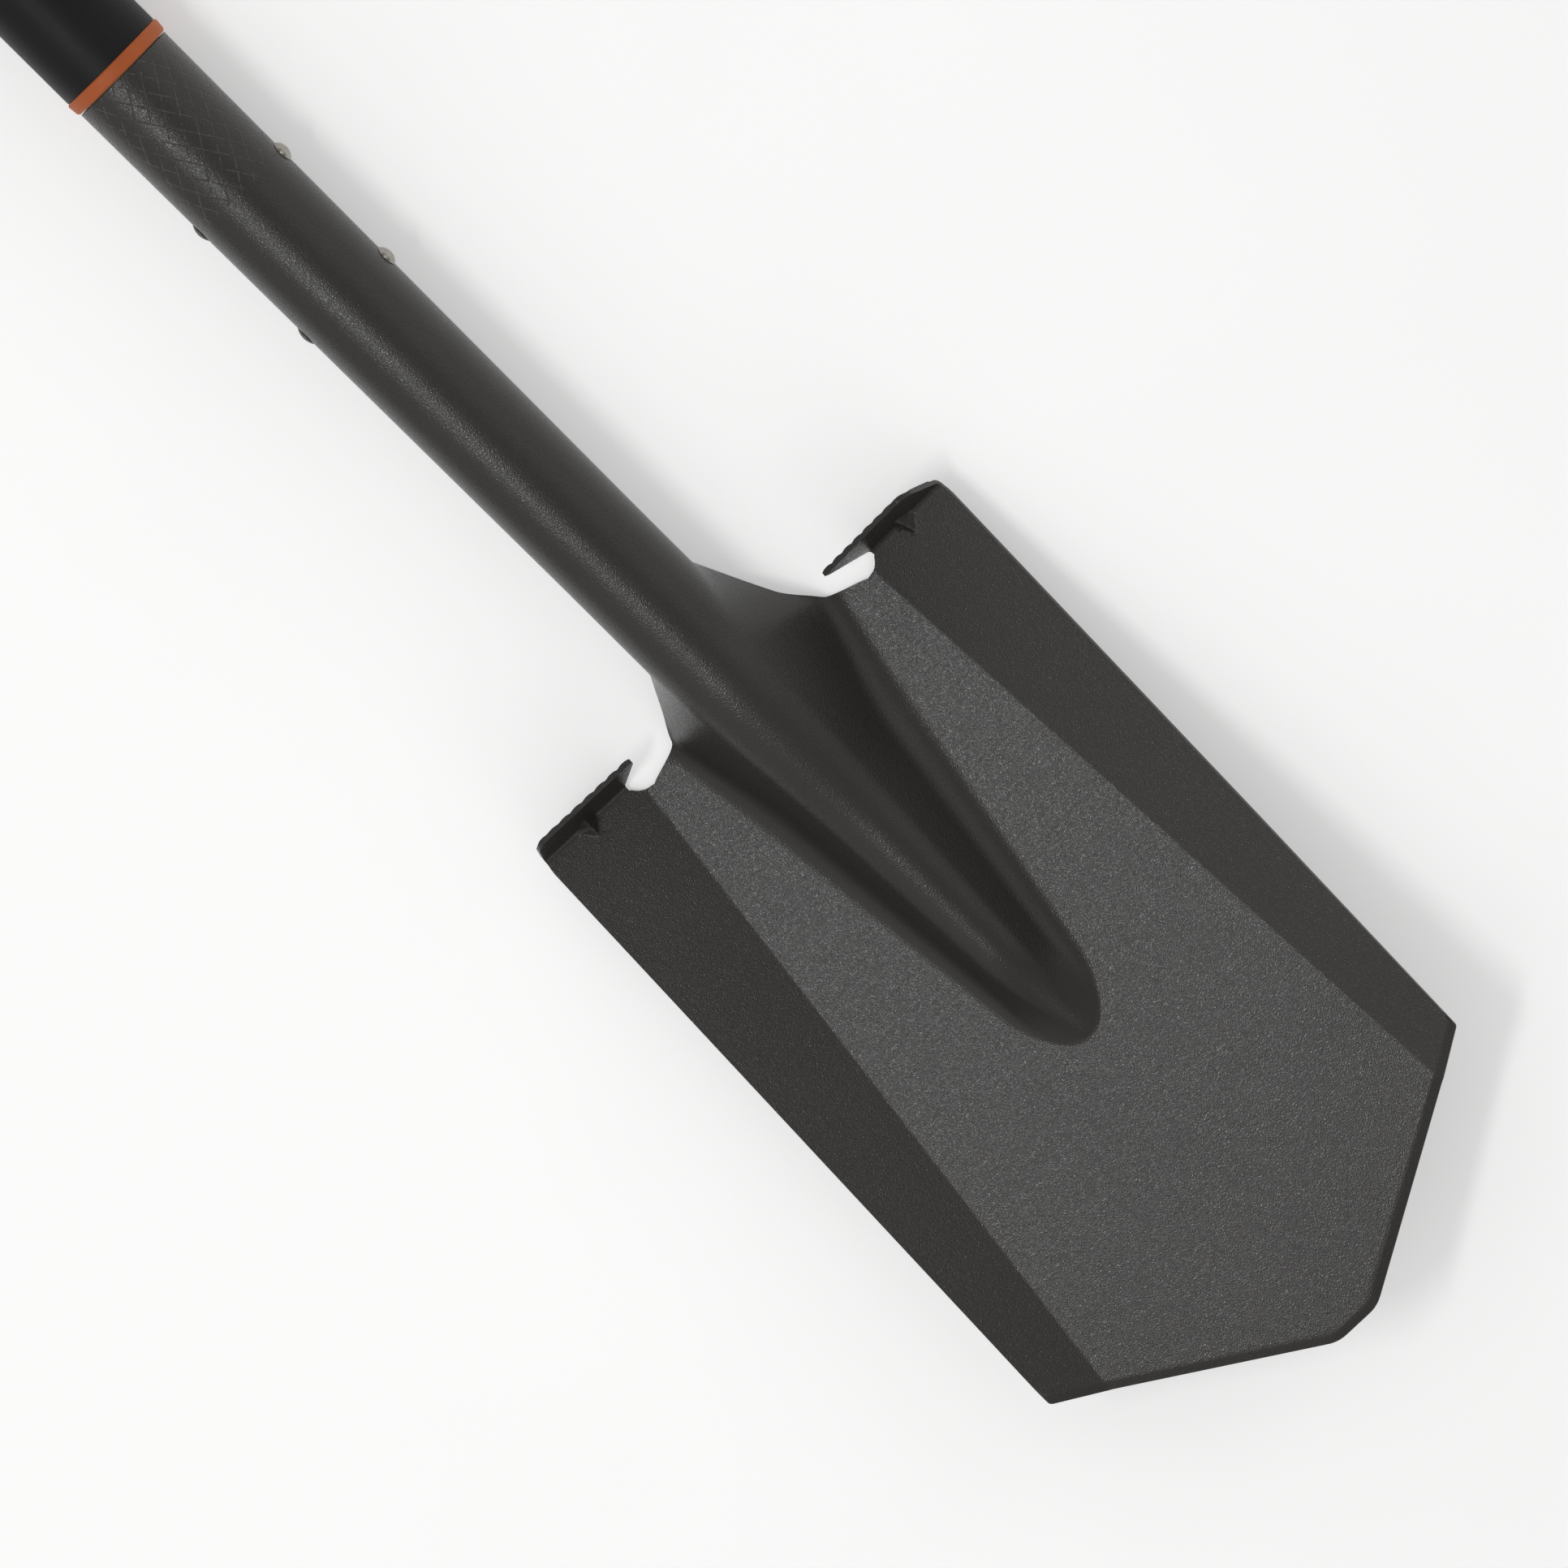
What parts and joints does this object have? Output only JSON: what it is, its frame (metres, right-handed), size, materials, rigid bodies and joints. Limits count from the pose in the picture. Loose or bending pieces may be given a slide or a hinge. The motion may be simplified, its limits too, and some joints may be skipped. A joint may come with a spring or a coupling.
{
  "type": "pointed digging shovel",
  "caption": "Long-shaft pointed digging shovel: one-piece pressed steel head with forward foot treads and side wings, riveted sleeved shaft, D-shaped hand grip.",
  "frame": {"origin": "middle of the underside of the whole shovel's box, as it lies on its back", "axes": "+X to the digger's right, +Y along the shaft from the tip to the grip, +Z the side the blade's front faces, up"},
  "size_m": [0.2022, 1.0536, 0.0491],
  "materials": {
    "powder_coat": "satin fine-texture powder coat, dark grey",
    "bright_rivet": "polished nickel",
    "orange_trim": "smooth moulded orange",
    "black_sleeve": "satin black extrusion",
    "glass_fibre": "pultruded glass fibre and resin",
    "plug_wood": "turned hardwood",
    "black_moulding": "satin black moulding, fine grain",
    "zinc_steel": "zinc plated",
    "soft_grip": "soft-touch black rubber"
  },
  "bodies": {
    "root": {"blade_head": "powder_coat", "rivet_upper": "bright_rivet", "rivet_lower": "bright_rivet", "collar_ring": "orange_trim", "shaft_core": "glass_fibre", "shaft_sleeve": "black_sleeve", "lower_plug": "plug_wood", "upper_plug": "plug_wood", "grip_yoke": "black_moulding", "yoke_screws": "zinc_steel", "grip_rod": "zinc_steel", "grip_bar": "black_moulding", "grip_cushion": "soft_grip", "grip_washers": "zinc_steel", "rod_nuts": "zinc_steel", "grip_cap_left": "black_moulding", "grip_cap_right": "black_moulding"}
  },
  "joints": []
}
